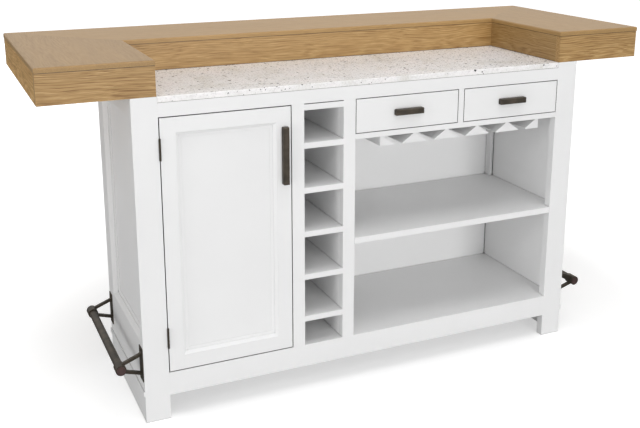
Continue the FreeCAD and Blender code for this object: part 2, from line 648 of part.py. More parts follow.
def build_foot_rails():
    """A tube on two brackets at each side, closed by a disc at each end."""
    tubes, brackets, caps, screws = [], [], [], []
    ends = (("front", "rail_start + socket_length / 2", "rail_start - cap_thickness"),
            ("rear", "rail_finish - socket_length / 2", "rail_finish"))
    length = "rail_finish - rail_start"
    for side, sign in ((-1, "-"), (1, "")):
        name = "left" if side < 0 else "right"
        x = f"{sign}(rail_x)"
        run = (length, x, "rail_start", "rail_height")
        tube = rod(f"{name}_rail_solid", "Y", "rail_radius", *run)
        bore = rod(f"{name}_rail_bore", "Y", "rail_radius - rail_wall", *run)
        tubes.append(cut(f"{name}_foot_rail", tube, bore))
        for end, centre, cap_start in ends:
            brackets.append(foot_rail_bracket(f"{name}_{end}_bracket", side, centre))
            caps.append(rod(f"{name}_{end}_cap", "Y", "cap_radius", "cap_thickness", x, cap_start,
                            "rail_height"))
            head_x = "cabinet_half + plate_thickness"
            head_x = head_x if side > 0 else f"-({head_x}) - screw_head_height"
            for way, lift in (("upper", "screw_spread / 2"), ("lower", "-screw_spread / 2")):
                screws.append(rod(f"{name}_{end}_{way}_screw", "X", "screw_head_radius", "screw_head_height",
                                  head_x, centre, f"rail_height + plate_rise + {lift}"))
    node(group("foot_rail_tubes", tubes))
    node(group("foot_rail_brackets", brackets))
    node(group("foot_rail_caps", caps))
    node(group("bracket_screws", screws))


def write_nodes():
    doc.recompute()
    faults = [item.Label for item in doc.Objects if "Invalid" in item.State or "Error" in item.State]
    if faults:
        raise RuntimeError(f"pieces with faults: {faults}")
    os.makedirs("parts", exist_ok=True)
    for piece in NODES:
        if piece.Shape.isNull() or not piece.Shape.isValid():
            raise RuntimeError(f"bad shape: {piece.Label}")
        piece.Shape.exportStep(f"parts/{piece.Label}.step")
    print(len(NODES), "nodes")


build_face_frame()
build_sides()
build_back()
build_inside(build_corner_clearances())
build_bottle_rack()
build_stemware_rails()
build_stone()
build_oak_top()
build_door()
build_hinges()
build_door_pull()
build_drawer("left", "bay_left")
build_drawer("right", "divider_right")
build_foot_rails()
write_nodes()
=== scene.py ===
import json
import math

import bmesh
import bpy
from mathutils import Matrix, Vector


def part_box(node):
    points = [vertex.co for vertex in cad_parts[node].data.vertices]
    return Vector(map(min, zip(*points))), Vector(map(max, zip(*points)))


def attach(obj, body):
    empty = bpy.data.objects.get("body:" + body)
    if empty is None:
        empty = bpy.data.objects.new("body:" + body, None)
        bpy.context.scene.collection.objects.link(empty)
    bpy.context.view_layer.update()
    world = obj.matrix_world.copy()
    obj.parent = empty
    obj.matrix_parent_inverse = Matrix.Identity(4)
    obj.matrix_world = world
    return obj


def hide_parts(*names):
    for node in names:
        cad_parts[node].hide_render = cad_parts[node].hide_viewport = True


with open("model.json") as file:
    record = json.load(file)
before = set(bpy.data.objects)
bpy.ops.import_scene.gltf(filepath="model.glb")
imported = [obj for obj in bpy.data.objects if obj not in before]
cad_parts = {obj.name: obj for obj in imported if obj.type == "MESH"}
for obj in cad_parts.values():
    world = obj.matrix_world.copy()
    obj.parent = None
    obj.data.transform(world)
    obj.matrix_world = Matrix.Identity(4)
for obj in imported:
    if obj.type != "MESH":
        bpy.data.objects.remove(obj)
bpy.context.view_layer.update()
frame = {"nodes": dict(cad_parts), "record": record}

MM = 0.001
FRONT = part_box("front_stiles")[0].y
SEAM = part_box("oak_front_aprons")[1].z
STONE_FOOT, STONE_TOP = (corner.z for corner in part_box("stone_worktop"))
NODES = frame["nodes"]
# a wave node of scale 1 repeats after this length
WAVE = math.pi / 10
MOULDING_WIDTH = 20 * MM
DOOR_MOULDING_WIDTH = 19 * MM


def colour(code):
    """A linear colour from an sRGB hex value."""
    parts = [int(code[place:place + 2], 16) / 255 for place in (1, 3, 5)]
    linear = [part / 12.92 if part <= 0.04045 else ((part + 0.055) / 1.055) ** 2.4 for part in parts]
    return (*linear, 1.0)


def add(tree, kind, inputs=None, stops=(), **settings):
    """Adds a node with its settings, gives its inputs a value or a link, and sets a ramp's stops."""
    node = tree.nodes.new(kind)
    for name, setting in settings.items():
        setattr(node, name, setting)
    for name, given in (inputs or {}).items():
        if isinstance(given, bpy.types.NodeSocket):
            tree.links.new(given, node.inputs[name])
        else:
            node.inputs[name].default_value = given
    for index, (position, code) in enumerate(stops):
        elements = node.color_ramp.elements
        element = elements[index] if index < len(elements) else elements.new(position)
        element.position = position
        element.color = colour(code)
    return node


def finish_named(name):
    """A new material with its empty tree and the place of each point on the piece."""
    material = bpy.data.materials.new(name)
    material.use_nodes = True
    tree = material.node_tree
    tree.nodes.clear()
    place = add(tree, "ShaderNodeTexCoord").outputs["Object"]
    return material, tree, place


def stretched(length, width):
    """A texture scale for grain along X, from the length and width of its marks in millimetres."""
    return (1 / (length * MM), 1 / (width * MM), 1 / (width * MM))


def satin_white_paint(name, *tones):
    """Sprayed paint on wood: even, with eased edges, a faint orange peel and a soft sheen."""
    material, tree, place = finish_named(name)
    cloud = add(tree, "ShaderNodeTexNoise", {"Vector": place, "Scale": 1 / (330 * MM), "Detail": 3.0})
    tone = add(tree, "ShaderNodeValToRGB", {"Fac": cloud.outputs["Fac"]}, tuple(zip((0.3, 0.7), tones)))
    # the shade in a narrow joint, and a faint one where two boards meet
    depth = add(tree, "ShaderNodeAmbientOcclusion", {"Distance": 12 * MM}, samples=6)
    clear = add(tree, "ShaderNodeMapRange", {"Value": depth.outputs["AO"], "From Min": 0.12,
                                             "From Max": 0.62})
    tone = add(tree, "ShaderNodeMix", {0: clear.outputs["Result"], 6: colour("#4A4744"),
                                       7: tone.outputs["Color"]},
               data_type="RGBA")
    # orange peel of about 3 mm, coarser than the real one so that it shows
    peel = add(tree, "ShaderNodeTexNoise", {"Vector": place, "Scale": 1 / (3 * MM), "Detail": 2.0})
    sheen = add(tree, "ShaderNodeMapRange", {"Value": peel.outputs["Fac"], "To Min": 0.42, "To Max": 0.52})
    eased = add(tree, "ShaderNodeBevel", {"Radius": 0.8 * MM}, samples=4)
    bump = add(tree, "ShaderNodeBump", {"Height": peel.outputs["Fac"], "Distance": 0.03 * MM,
                                        "Normal": eased.outputs["Normal"]})
    shader = add(tree, "ShaderNodeBsdfPrincipled", {
        "Base Color": tone.outputs[2], "Roughness": sheen.outputs["Result"], "IOR": 1.45,
        "Normal": bump.outputs["Normal"]})
    add(tree, "ShaderNodeOutputMaterial", {"Surface": shader.outputs[0]})
    return material


def place_in_log(tree, along, across):
    """The place in the log that each stave is cut from, and a chance number of that stave."""
    # every log is another one, and its heart lies a few centimetres from the stave
    wide = 168 * MM
    stave = add(tree, "ShaderNodeMath", {0: across, 1: wide}, operation="DIVIDE")
    stave = add(tree, "ShaderNodeMath", {0: stave.outputs[0]}, operation="FLOOR")
    chance = add(tree, "ShaderNodeTexWhiteNoise", {"W": stave.outputs[0]}, noise_dimensions="1D")
    chances = add(tree, "ShaderNodeSeparateColor", {"Color": chance.outputs["Color"]})
    slide = add(tree, "ShaderNodeMath", {0: chances.outputs["Red"], 1: 3.0}, operation="MULTIPLY")
    middle = add(tree, "ShaderNodeMath", {0: stave.outputs[0], 1: -wide, 2: -wide},
                 operation="MULTIPLY_ADD")
    aside = add(tree, "ShaderNodeMath", {0: chances.outputs["Green"], 1: wide, 2: middle.outputs[0]},
                operation="MULTIPLY_ADD")
    under = add(tree, "ShaderNodeMath", {0: chances.outputs["Blue"], 1: 80 * MM, 2: -SEAM},
                operation="MULTIPLY_ADD")
    shift = add(tree, "ShaderNodeCombineXYZ", {"X": slide.outputs[0], "Y": aside.outputs[0],
                                               "Z": under.outputs[0]})
    moved = add(tree, "ShaderNodeVectorMath", {0: along, 1: shift.outputs[0]}, operation="ADD").outputs[0]

    # the whole grain sways by about 20 mm along a board
    sway_place = add(tree, "ShaderNodeMapping", {"Vector": moved,
                                                 "Scale": stretched(450, 140)}).outputs["Vector"]
    sway = add(tree, "ShaderNodeTexNoise", {"Vector": sway_place, "Scale": 1.0, "Detail": 2.0})
    sway = add(tree, "ShaderNodeVectorMath", {0: sway.outputs["Color"], "Scale": 45 * MM},
               operation="SCALE")
    swayed = add(tree, "ShaderNodeVectorMath", {0: moved, 1: sway.outputs[0]}, operation="ADD").outputs[0]
    return swayed, chance.outputs["Value"]


def painted_joint_shade(tree, height, foot):
    """Painted shade: dark lines 2 mm high, the painted shadow at the joint below the top board's nose and
    the painted contact shadow at the foot on the stone.
    """
    near = add(tree, "ShaderNodeMapRange", {"Value": height, "From Min": SEAM - 3 * MM,
                                            "From Max": SEAM - 1.5 * MM})
    below = add(tree, "ShaderNodeMath", {0: height, 1: SEAM + 0.01 * MM}, operation="LESS_THAN")
    joint = add(tree, "ShaderNodeMath", {0: near.outputs["Result"], 1: below.outputs[0]},
                operation="MULTIPLY")
    stand = add(tree, "ShaderNodeMath", {0: height, 1: foot + 2 * MM}, operation="LESS_THAN")
    joint = add(tree, "ShaderNodeMath", {0: joint.outputs[0], 1: stand.outputs[0]}, operation="MAXIMUM")
    shade = add(tree, "ShaderNodeMapRange", {"Value": joint.outputs[0], "To Min": 1.0, "To Max": 0.35})
    return shade.outputs["Result"]


def lacquered_oak(name, turned, contrast=1.0, foot=0.0, shine=0.5, light=1.0):
    """Oak under clear satin lacquer: rings cut into waves and arches, short dark pores, glued staves, with
    painted light on each copy and painted shade at its joints.
    """
    material, tree, place = finish_named(name)
    along = add(tree, "ShaderNodeMapping", {"Vector": place, "Rotation": (0, 0, turned)}).outputs["Vector"]
    axes = add(tree, "ShaderNodeSeparateXYZ", {"Vector": along})

    swayed, chance = place_in_log(tree, along, axes.outputs["Y"])

    # rings about 4 mm apart and fibres about 3 mm apart, with broader bands behind them
    ring_place = add(tree, "ShaderNodeMapping", {"Vector": swayed,
                                                 "Scale": (0.12, 1.0, 1.0)}).outputs["Vector"]
    ring = add(tree, "ShaderNodeTexWave", {"Vector": ring_place, "Scale": WAVE / (4 * MM),
                                           "Distortion": 4.0, "Detail": 2.0,
                                           "Detail Scale": 1.2}, wave_type="RINGS", rings_direction="X")
    line_place = add(tree, "ShaderNodeMapping", {"Vector": swayed,
                                                 "Scale": stretched(170, 2.8)}).outputs["Vector"]
    line = add(tree, "ShaderNodeTexNoise", {"Vector": line_place, "Scale": 1.0, "Detail": 3.0,
                                            "Roughness": 0.6})
    drawn = add(tree, "ShaderNodeMix", {0: 0.14, 2: line.outputs["Fac"], 3: ring.outputs["Fac"]})
    drawn = add(tree, "ShaderNodeMapRange", {"Value": drawn.outputs[0], "To Min": 0.5 - contrast / 2,
                                             "To Max": 0.5 + contrast / 2})
    wood = add(tree, "ShaderNodeValToRGB", {"Fac": drawn.outputs["Result"]},
               ((0.3, "#845E2F"), (0.44, "#A8834E"), (0.57, "#B6925D"), (0.7, "#CCAB76"))).outputs["Color"]
    band_place = add(tree, "ShaderNodeMapping", {"Vector": swayed,
                                                 "Scale": stretched(830, 45)}).outputs["Vector"]
    band = add(tree, "ShaderNodeTexNoise", {"Vector": band_place, "Scale": 1.0,
                                            "Detail": 2.0}).outputs["Fac"]

    # pores, drawn about 2 mm wide so that they show
    pore_place = add(tree, "ShaderNodeMapping", {"Vector": swayed,
                                                 "Scale": stretched(70, 2.1)}).outputs["Vector"]
    fibre = add(tree, "ShaderNodeTexNoise", {"Vector": pore_place, "Scale": 1.0,
                                             "Detail": 2.0}).outputs["Fac"]
    pore = add(tree, "ShaderNodeMapRange", {"Value": fibre, "From Min": 0.33, "From Max": 0.43})
    pore = add(tree, "ShaderNodeMapRange", {"Value": pore.outputs["Result"], "To Min": 1 - 0.6 * contrast})
    pored = add(tree, "ShaderNodeMix", {0: pore.outputs["Result"], 6: colour("#7E5C2C"), 7: wood},
                data_type="RGBA")
    lift = add(tree, "ShaderNodeMapRange", {"Value": band, "From Min": 0.3, "From Max": 0.7, "To Min": 0.95,
                                            "To Max": 1.04})
    # each stave's tone differs at random; the light factor is painted light, which makes this copy lighter
    # or darker by how light falls on its faces
    stave_tone_and_painted_light = add(tree, "ShaderNodeMapRange", {"Value": chance, "To Min": 0.97 * light,
                                                  "To Max": 1.03 * light})
    lift = add(tree, "ShaderNodeMath", {0: lift.outputs["Result"], 1: stave_tone_and_painted_light.outputs["Result"]},
               operation="MULTIPLY")
    # painted shade under the top board's nose and painted contact shadow where the oak stands on the stone
    shade = painted_joint_shade(tree, axes.outputs["Z"], foot)
    lift = add(tree, "ShaderNodeMath", {0: lift.outputs[0], 1: shade},
               operation="MULTIPLY")
    toned = add(tree, "ShaderNodeHueSaturation", {"Color": pored.outputs[2], "Value": lift.outputs[0]})
    sheen = add(tree, "ShaderNodeMapRange", {"Value": fibre, "To Min": 0.5, "To Max": 0.4})
    bump = add(tree, "ShaderNodeBump", {"Height": fibre, "Distance": 0.08 * MM})
    shader = add(tree, "ShaderNodeBsdfPrincipled", {
        "Base Color": toned.outputs["Color"], "Roughness": sheen.outputs["Result"], "IOR": 1.5,
        "Specular IOR Level": shine, "Normal": bump.outputs["Normal"]})
    add(tree, "ShaderNodeOutputMaterial", {"Surface": shader.outputs[0]})
    return material


def speckled_granite():
    """Polished pale granite: pink and grey crystals a few millimetres wide with black mica flecks."""
    material, tree, place = finish_named("speckled_granite")
    cloud = add(tree, "ShaderNodeTexNoise", {"Vector": place, "Scale": 1 / (110 * MM), "Detail": 5.0,
                                             "Roughness": 0.6})
    ground = add(tree, "ShaderNodeValToRGB", {"Fac": cloud.outputs["Fac"]},
                 ((0.36, "#DFDDD7"), (0.48, "#F4F3F2"), (0.64, "#FBF7F7")))
    crystal = add(tree, "ShaderNodeTexVoronoi", {"Vector": place, "Scale": 1 / (4 * MM)})
    grain = add(tree, "ShaderNodeSeparateColor", {"Color": crystal.outputs["Color"]})
    grain_tone = add(tree, "ShaderNodeValToRGB", {"Fac": grain.outputs["Red"]},
                     ((0.0, "#A8A3A3"), (0.12, "#DAD6D5"), (0.5, "#F0EEEE"), (1.0, "#FBFAFA")))
    body = add(tree, "ShaderNodeMix", {0: 0.3, 6: ground.outputs["Color"], 7: grain_tone.outputs["Color"]},
               data_type="RGBA")
    # mica: flecks of 3 to 9 mm near two in five of the points of a 15 mm lattice
    ragged = add(tree, "ShaderNodeTexNoise", {"Vector": place, "Scale": 1 / (5 * MM)})
    torn = add(tree, "ShaderNodeVectorMath", {0: ragged.outputs["Color"], "Scale": 5 * MM},
               operation="SCALE")
    torn = add(tree, "ShaderNodeVectorMath", {0: place, 1: torn.outputs[0]}, operation="ADD")
    fleck = add(tree, "ShaderNodeTexVoronoi", {"Vector": torn.outputs[0], "Scale": 1 / (15 * MM)})
    pick = add(tree, "ShaderNodeSeparateColor", {"Color": fleck.outputs["Color"]})
    size = add(tree, "ShaderNodeMapRange", {"Value": pick.outputs["Green"], "From Min": 0.62,
                                            "To Min": 0.11, "To Max": 0.31})
    inside = add(tree, "ShaderNodeMath", {0: fleck.outputs["Distance"], 1: size.outputs["Result"]},
                 operation="LESS_THAN")
    chosen = add(tree, "ShaderNodeMath", {0: pick.outputs["Green"], 1: 0.62}, operation="GREATER_THAN")
    inside = add(tree, "ShaderNodeMath", {0: inside.outputs[0], 1: chosen.outputs[0]}, operation="MULTIPLY")
    flecked = add(tree, "ShaderNodeMix", {0: inside.outputs[0], 6: body.outputs[2], 7: colour("#26272D")},
                  data_type="RGBA")
    # larger flecks, up to 10 mm wide, near some points of a 30 mm lattice
    spot = add(tree, "ShaderNodeTexVoronoi", {"Vector": torn.outputs[0], "Scale": 1 / (30 * MM)})
    lot = add(tree, "ShaderNodeSeparateColor", {"Color": spot.outputs["Color"]})
    reach = add(tree, "ShaderNodeMapRange", {"Value": lot.outputs["Red"], "From Min": 0.35, "To Max": 0.17})
    large = add(tree, "ShaderNodeMath", {0: spot.outputs["Distance"], 1: reach.outputs["Result"]},
                operation="LESS_THAN")
    flecked = add(tree, "ShaderNodeMix", {0: large.outputs[0], 6: flecked.outputs[2], 7: colour("#1B1C22")},
                  data_type="RGBA")
    # painted shadow: a grey line 1.5 mm high at the foot of the slab, where it lies on the rail below
    axes = add(tree, "ShaderNodeSeparateXYZ", {"Vector": place})
    painted_shadow_line = add(tree, "ShaderNodeMath", {0: axes.outputs["Z"], 1: STONE_FOOT + 1.5 * MM},
              operation="LESS_THAN")
    flecked = add(tree, "ShaderNodeMix", {0: painted_shadow_line.outputs[0], 6: flecked.outputs[2], 7: colour("#9C9996")},
                  data_type="RGBA")
    sheen = add(tree, "ShaderNodeMapRange", {"Value": grain.outputs["Green"], "To Min": 0.25,
                                             "To Max": 0.36})
    bump = add(tree, "ShaderNodeBump", {"Height": grain.outputs["Blue"], "Distance": 0.01 * MM})
    shader = add(tree, "ShaderNodeBsdfPrincipled", {
        "Base Color": flecked.outputs[2], "Roughness": sheen.outputs["Result"], "IOR": 1.5,
        "Normal": bump.outputs["Normal"]})
    add(tree, "ShaderNodeOutputMaterial", {"Surface": shader.outputs[0]})
    return material


def dark_bronze(name, *tones):
    """Cast metal, bronzed and waxed: dark brown with a cloudy patina and a dull shine."""
    material, tree, place = finish_named(name)
    patina = add(tree, "ShaderNodeTexNoise", {"Vector": place, "Scale": 1 / (30 * MM), "Detail": 4.0})
    tone = add(tree, "ShaderNodeValToRGB", {"Fac": patina.outputs["Fac"]},
               tuple(zip((0.3, 0.5, 0.72), tones)))
    cast = add(tree, "ShaderNodeTexNoise", {"Vector": place, "Scale": 1 / (2 * MM), "Detail": 2.0})
    sheen = add(tree, "ShaderNodeMapRange", {"Value": cast.outputs["Fac"], "To Min": 0.4, "To Max": 0.56})
    eased = add(tree, "ShaderNodeBevel", {"Radius": 1.0 * MM}, samples=4)
    bump = add(tree, "ShaderNodeBump", {"Height": cast.outputs["Fac"], "Distance": 0.05 * MM,
                                        "Normal": eased.outputs["Normal"]})
    shader = add(tree, "ShaderNodeBsdfPrincipled", {
        "Base Color": tone.outputs["Color"], "Roughness": sheen.outputs["Result"], "Metallic": 0.6,
        "Normal": bump.outputs["Normal"]})
    add(tree, "ShaderNodeOutputMaterial", {"Surface": shader.outputs[0]})
    return material


def satin_steel():
    """Turned steel with a fine satin grain."""
    material, tree, place = finish_named("satin_steel")
    grain = add(tree, "ShaderNodeTexNoise", {"Vector": place, "Scale": 1 / (1.5 * MM), "Detail": 2.0})
    tone = add(tree, "ShaderNodeValToRGB", {"Fac": grain.outputs["Fac"]},
               ((0.3, "#B9BABC"), (0.7, "#CFD0D1")))
    bump = add(tree, "ShaderNodeBump", {"Height": grain.outputs["Fac"], "Distance": 0.02 * MM})
    shader = add(tree, "ShaderNodeBsdfPrincipled", {
        "Base Color": tone.outputs["Color"], "Roughness": 0.32, "Metallic": 1.0,
        "Normal": bump.outputs["Normal"]})
    add(tree, "ShaderNodeOutputMaterial", {"Surface": shader.outputs[0]})
    return material


def clear_birch():
    """Birch drawer boards under clear lacquer: pale, with soft ripples and fine fibres along Y."""
    material, tree, place = finish_named("clear_birch")
    turned = add(tree, "ShaderNodeMapping", {"Vector": place, "Rotation": (0, 0, -math.pi / 2)})
    along = add(tree, "ShaderNodeMapping", {"Vector": turned.outputs["Vector"],
                                            "Scale": stretched(400, 17)})
    fibre = add(tree, "ShaderNodeTexNoise", {"Vector": along.outputs["Vector"], "Scale": 1.0,
                                             "Detail": 5.0, "Distortion": 0.4})
    tone = add(tree, "ShaderNodeValToRGB", {"Fac": fibre.outputs["Fac"]},
               ((0.3, "#CDB387"), (0.55, "#DBC49B"), (0.75, "#E4D0AB")))
    bump = add(tree, "ShaderNodeBump", {"Height": fibre.outputs["Fac"], "Distance": 0.08 * MM})
    shader = add(tree, "ShaderNodeBsdfPrincipled", {
        "Base Color": tone.outputs["Color"], "Roughness": 0.45, "Normal": bump.outputs["Normal"]})
    add(tree, "ShaderNodeOutputMaterial", {"Surface": shader.outputs[0]})
    return material


def moulded_white_plastic():
    """The catch: moulded plastic with a fine eroded texture."""
    material, tree, place = finish_named("moulded_white_plastic")
    spark = add(tree, "ShaderNodeTexNoise", {"Vector": place, "Scale": 1 / (1.2 * MM), "Detail": 2.0})
    tone = add(tree, "ShaderNodeValToRGB", {"Fac": spark.outputs["Fac"]},
               ((0.3, "#DADAD8"), (0.7, "#E4E4E2")))
    bump = add(tree, "ShaderNodeBump", {"Height": spark.outputs["Fac"], "Distance": 0.05 * MM})
    shader = add(tree, "ShaderNodeBsdfPrincipled", {
        "Base Color": tone.outputs["Color"], "Roughness": 0.5, "Normal": bump.outputs["Normal"]})
    add(tree, "ShaderNodeOutputMaterial", {"Surface": shader.outputs[0]})
    return material


PAINT = satin_white_paint("satin_white_paint", "#EDEDED", "#F0F0F0")
# a whiter board for the back and the rack's walls: partly a paler board, partly painted light that
# brightens the deep bay
WHITER_BOARD_AND_PAINTED_LIGHT = satin_white_paint("whiter_board_and_painted_light", "#FCFCFC", "#FEFEFE")
OAK_ACROSS = lacquered_oak("lacquered_oak_along_the_bar", 0)
# painted light: the end aprons are painted lighter, and the tops and inner wing faces darker, by how light
# falls on them
OAK_WINGS = lacquered_oak("lacquered_oak_along_the_wings", -math.pi / 2, shine=0.2, light=1.25)
OAK_TOP_ACROSS = lacquered_oak("lacquered_oak_top_along_the_bar", 0, 0.4, light=0.97)
OAK_TOP_WINGS = lacquered_oak("lacquered_oak_top_along_the_wings", -math.pi / 2, 0.4, light=0.88)
OAK_INNER_BACK = lacquered_oak("lacquered_oak_on_the_stone", 0, 0.8, STONE_TOP)
OAK_INNER_WINGS = lacquered_oak("lacquered_oak_on_the_stone_along_the_wings", -math.pi / 2, 0.8, STONE_TOP,
                                light=0.82)
GRANITE = speckled_granite()
BRONZE = dark_bronze("dark_bronze", "#3A352E", "#474037", "#554C42")
CAP_BRONZE = dark_bronze("red_bronze_caps", "#493937", "#554341", "#604D4A")
STEEL = satin_steel()
BIRCH = clear_birch()
PLASTIC = moulded_white_plastic()
FINISHES = {"white_paint": PAINT, "oak": OAK_ACROSS, "stone": GRANITE, "dark_bronze": BRONZE,
            "steel": STEEL, "birch": BIRCH, "catch": PLASTIC}
SPECIAL = {"oak_back_top": OAK_TOP_ACROSS, "oak_wing_tops": OAK_TOP_WINGS, "oak_end_aprons": OAK_WINGS,
           "oak_inner_aprons": OAK_INNER_WINGS, "oak_inner_back_apron": OAK_INNER_BACK,
           "foot_rail_caps": CAP_BRONZE, "back_panel": WHITER_BOARD_AND_PAINTED_LIGHT, "rack_walls": WHITER_BOARD_AND_PAINTED_LIGHT}


def finish_nodes():
    """Gives every CAD node its slot's finish, or one of its own: turned oak with painted light and shade,
    redder caps, and whiter boards that are partly painted light.
    """
    for entry in frame["record"]["subparts"]:
        node = NODES[entry["node"]]
        finish = SPECIAL.get(entry["node"], FINISHES[entry["material_slot"]])
        for place in node.material_slots:
            place.material = finish


def piece_from(shape, name, finish, body, slot, *nodes):
    """Makes an object of a bmesh, gives it its finish and lets it stand for CAD nodes."""
    mesh = bpy.data.meshes.new(name)
    shape.to_mesh(mesh)
    shape.free()
    mesh.materials.append(finish)
    piece = bpy.data.objects.new(name, mesh)
    bpy.context.scene.collection.objects.link(piece)
    mesh.shade_smooth()
    mesh.set_sharp_from_angle(angle=math.radians(35))
    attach(piece, body)
    if nodes:
        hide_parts(*nodes)
    return piece


def moulding_profile(width, depth):
    """Points from the frame's face down to the panel: a bevel, a quirk and a low slope."""
    shares = ((0, 1), (0.02, 1), (0.5, 0.36), (0.5, 0.24), (0.58, 0.24), (0.93, 0.08), (1, 0.04), (1, 0),
              (0, 0))
    return [(width * across, depth * height) for across, height in shares]


def mitred_frame(shape, corner, across, up, out, size, profile):
    """Adds four mitred lengths of a moulding round a recess to a bmesh."""
    rings = []
    for side_x, side_z in ((0, 0), (1, 0), (1, 1), (0, 1)):
        ring = []
        for inset, height in profile:
            x = size[0] - inset if side_x else inset
            z = size[1] - inset if side_z else inset
            ring.append(shape.verts.new(corner + across * x + up * z + out * height))
        rings.append(ring)
    count = len(profile)
    for index, ring in enumerate(rings):
        after = rings[(index + 1) % len(rings)]
        for point in range(count):
            follow = (point + 1) % count
            shape.faces.new((ring[point], after[point], after[follow], ring[follow]))
    bmesh.ops.recalc_face_normals(shape, faces=shape.faces)


def make_door_moulding():
    """The moulding round the door's panel, in one mitred frame."""
    low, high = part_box("door_moulding")
    shape = bmesh.new()
    profile = moulding_profile(DOOR_MOULDING_WIDTH, high.y - low.y)
    corner = Vector((low.x, high.y, low.z))
    mitred_frame(shape, corner, Vector((1, 0, 0)), Vector((0, 0, 1)), Vector((0, -1, 0)),
                 (high.x - low.x, high.z - low.z), profile)
    piece_from(shape, "door_ogee_moulding", PAINT, "door", "white_paint", "door_moulding")


def make_side_mouldings():
    """A mitred frame of moulding round the panel of each side."""
    low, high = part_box("side_mouldings")
    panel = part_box("side_panels")[1].x
    profile = moulding_profile(MOULDING_WIDTH, high.x - panel)
    shape = bmesh.new()
    for side in (-1, 1):
        corner = Vector((side * panel, low.y, low.z))
        mitred_frame(shape, corner, Vector((0, 1, 0)), Vector((0, 0, 1)), Vector((side, 0, 0)),
                     (high.y - low.y, high.z - low.z), profile)
    piece_from(shape, "side_ogee_mouldings", PAINT, "cabinet", "white_paint", "side_mouldings")


def make_back_mouldings():
    """Three mitred frames of moulding between the posts and mullions of the back."""
    low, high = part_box("back_mouldings")
    mullion = 60 * MM
    bays = 3
    bay = (high.x - low.x - (bays - 1) * mullion) / bays
    profile = moulding_profile(MOULDING_WIDTH, high.y - low.y)
    shape = bmesh.new()
    for index in range(bays):
        corner = Vector((low.x + index * (bay + mullion), low.y, low.z))
        mitred_frame(shape, corner, Vector((1, 0, 0)), Vector((0, 0, 1)), Vector((0, 1, 0)),
                     (bay, high.z - low.z), profile)
    piece_from(shape, "back_ogee_mouldings", PAINT, "cabinet", "white_paint", "back_mouldings")


def screw_tree():
    """Geometry nodes that set a domed screw head with a slot on every point it is given."""
    tree = bpy.data.node_groups.new("domed_screws", "GeometryNodeTree")
    face = tree.interface
    face.new_socket("Points", in_out="INPUT", socket_type="NodeSocketGeometry")
    face.new_socket("Head radius", in_out="INPUT", socket_type="NodeSocketFloat")
    face.new_socket("Head height", in_out="INPUT", socket_type="NodeSocketFloat")
    face.new_socket("Slot width", in_out="INPUT", socket_type="NodeSocketFloat")
    face.new_socket("Screws", in_out="OUTPUT", socket_type="NodeSocketGeometry")
    given = add(tree, "NodeGroupInput").outputs
    ball = add(tree, "GeometryNodeMeshUVSphere", {"Segments": 24, "Rings": 16, "Radius": 1.0})
    dome_size = add(tree, "ShaderNodeCombineXYZ", {"X": given["Head radius"], "Y": given["Head radius"],
                                                   "Z": given["Head height"]})
    dome = add(tree, "GeometryNodeTransform", {"Geometry": ball.outputs["Mesh"],
                                               "Scale": dome_size.outputs[0]})
    # a block below the plate's face cuts the ball to a dome
    block = 50 * MM
    below = add(tree, "GeometryNodeMeshCube", {"Size": (block, block, block)})
    below = add(tree, "GeometryNodeTransform", {"Geometry": below.outputs["Mesh"],
                                                "Translation": (0, 0, -block / 2)})
    slot_size = add(tree, "ShaderNodeCombineXYZ", {"X": block, "Y": given["Slot width"],
                                                   "Z": given["Slot width"]})
    slot = add(tree, "GeometryNodeMeshCube", {"Size": slot_size.outputs[0]})
    slot_place = add(tree, "ShaderNodeCombineXYZ", {"X": 0.0, "Y": 0.0, "Z": given["Head height"]})
    slot = add(tree, "GeometryNodeTransform", {"Geometry": slot.outputs["Mesh"],
                                               "Translation": slot_place.outputs[0]})
    tools = add(tree, "GeometryNodeJoinGeometry")
    for tool in (below, slot):
        tree.links.new(tool.outputs["Geometry"], tools.inputs[0])
    head = add(tree, "GeometryNodeMeshBoolean", {"Mesh 1": dome.outputs["Geometry"]},
               operation="DIFFERENCE", solver="EXACT")
    tree.links.new(tools.outputs[0], head.inputs["Mesh 2"])
    facing = add(tree, "GeometryNodeInputNamedAttribute", {"Name": "facing"}, data_type="FLOAT_VECTOR")
    turned = add(tree, "FunctionNodeAlignRotationToVector", {"Vector": facing.outputs["Attribute"]},
                 axis="Z")
    heads = add(tree, "GeometryNodeInstanceOnPoints", {"Points": given["Points"],
                                                       "Instance": head.outputs["Mesh"],
                                                       "Rotation": turned.outputs["Rotation"]})
    real = add(tree, "GeometryNodeRealizeInstances", {"Geometry": heads.outputs["Instances"]})
    painted = add(tree, "GeometryNodeSetMaterial", {"Geometry": real.outputs["Geometry"],
                                                    "Material": BRONZE})
    out = add(tree, "NodeGroupOutput")
    tree.links.new(painted.outputs["Geometry"], out.inputs["Screws"])
    return tree


